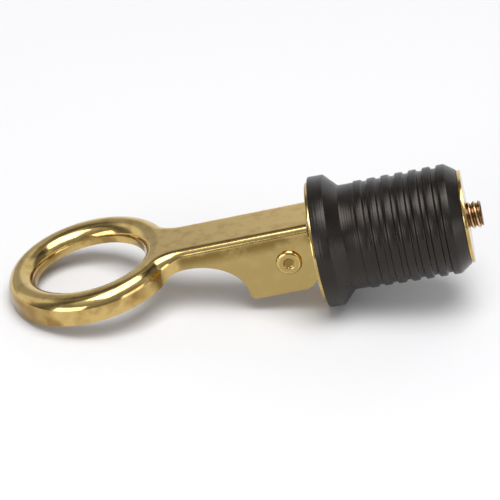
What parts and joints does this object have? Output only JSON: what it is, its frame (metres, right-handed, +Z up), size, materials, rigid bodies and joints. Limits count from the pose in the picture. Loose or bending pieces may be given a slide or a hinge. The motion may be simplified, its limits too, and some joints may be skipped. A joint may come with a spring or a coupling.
{
  "type": "boat drain plug",
  "caption": "Rubber bailer plug with ribs and a flange, squeezed by a folding brass snap handle with a finger ring and cam ears.",
  "frame": {"origin": "on the surface the plug lies on, under the middle of its box, with the flange's rim and the ring's tip touching the surface", "axes": "+Z up; +X from the finger ring towards the threaded end, along the lying plug; +Y along the handle's pin"},
  "size_m": [0.1084, 0.0398, 0.0333],
  "materials": {
    "polished_handle_brass": "polished",
    "rivet_brass": "polished",
    "stem_brass": "machined",
    "washer_brass": "polished",
    "nut_brass": "polished",
    "black_rubber": "satin"
  },
  "bodies": {
    "plug": {"rubber_plug": "black_rubber"},
    "washer": {"cam_washer": "washer_brass"},
    "nut": {"end_nut": "nut_brass"},
    "stem": {"stem": "stem_brass"},
    "handle": {"handle": "polished_handle_brass", "pivot_rivet": "rivet_brass"}
  },
  "joints": [
    {"name": "stem_turn", "type": "hinge", "parent": "plug", "child": "stem", "pos_m": [0.01017, 0, 0.01317], "axis": [0.9779, 0, 0.2093], "range_deg": [-720, 720]},
    {"name": "handle_flip", "type": "hinge", "parent": "stem", "child": "handle", "pos_m": [0.01017, 0, 0.01317], "axis": [0, -1, 0], "range_deg": [0, 88.7]},
    {"name": "cam_lift", "type": "slide", "parent": "plug", "child": "washer", "axis": [0.9779, 0, 0.2093], "range_m": [0, 0.00395], "deforming": ["rubber_plug"]},
    {"name": "nut_feed", "type": "slide", "parent": "plug", "child": "nut", "axis": [0.9779, 0, 0.2093], "range_m": [-0.00255, 0.00255], "deforming": ["rubber_plug"]}
  ],
  "couplings": [
    {"joint": "cam_lift", "follows": "handle_flip", "m_per_rad": 0.002553},
    {"joint": "nut_feed", "follows": "stem_turn", "m_per_rad": -0.00020213}
  ]
}
